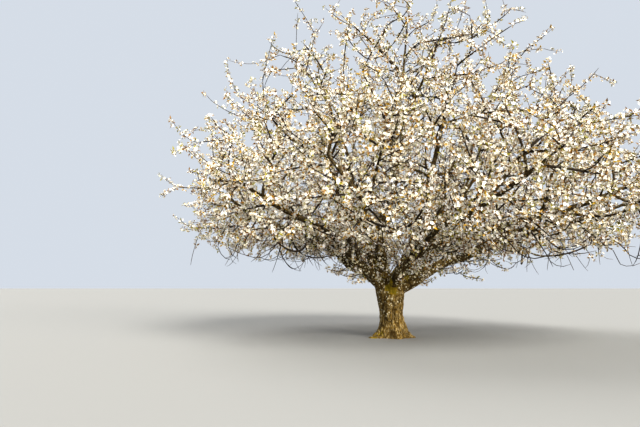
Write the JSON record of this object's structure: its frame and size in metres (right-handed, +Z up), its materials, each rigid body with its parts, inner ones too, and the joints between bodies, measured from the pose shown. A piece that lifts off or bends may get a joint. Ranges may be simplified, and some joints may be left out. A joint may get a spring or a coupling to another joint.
{
  "type": "white cherry blossom tree",
  "caption": "Old orchard cherry in white blossom: short stout trunk, low spreading boughs, wide dome-shaped crown of twigs and blossom.",
  "frame": {"origin": "centre of the flat cut under the trunk, at ground level", "axes": "+Z up along the trunk, +X towards the strong low bough on the right of the picture, +Y away from the viewer of the picture"},
  "size_m": [11.6779, 10.0213, 8.6731],
  "materials": {
    "trunk_bark": "rough fissured bark with pale lichen and olive moss",
    "bough_bark": "dark ringed bark with lichen specks",
    "blossom": "matt white blossom on fine dark twigs"
  },
  "bodies": {
    "root": {"trunk": "trunk_bark", "bough_right": "bough_bark", "bough_back_right": "bough_bark", "bough_back": "bough_bark", "bough_back_left": "bough_bark", "bough_left": "bough_bark", "bough_front": "bough_bark", "bough_high_right": "bough_bark", "bough_high_left": "bough_bark", "bough_leader": "bough_bark", "limb_right_side": "bough_bark", "limb_right_riser": "bough_bark", "limb_back_right_side": "bough_bark", "limb_back_right_riser": "bough_bark", "limb_back_side": "bough_bark", "limb_back_riser": "bough_bark", "limb_back_left_side": "bough_bark", "limb_back_left_riser": "bough_bark", "limb_left_side": "bough_bark", "limb_left_riser": "bough_bark", "limb_front_side": "bough_bark", "limb_front_riser": "bough_bark", "limb_leader_back": "bough_bark", "limb_leader_front": "bough_bark", "blossom_right": "blossom", "blossom_back_right": "blossom", "blossom_back": "blossom", "blossom_back_left": "blossom", "blossom_left": "blossom", "blossom_front": "blossom", "blossom_high_right": "blossom", "blossom_high_left": "blossom", "blossom_leader": "blossom", "blossom_right_side": "blossom", "blossom_right_riser": "blossom", "blossom_back_right_side": "blossom", "blossom_back_right_riser": "blossom", "blossom_back_side": "blossom", "blossom_back_riser": "blossom", "blossom_back_left_side": "blossom", "blossom_back_left_riser": "blossom", "blossom_left_side": "blossom", "blossom_left_riser": "blossom", "blossom_front_side": "blossom", "blossom_front_riser": "blossom", "blossom_leader_back": "blossom", "blossom_leader_front": "blossom"}
  },
  "joints": []
}
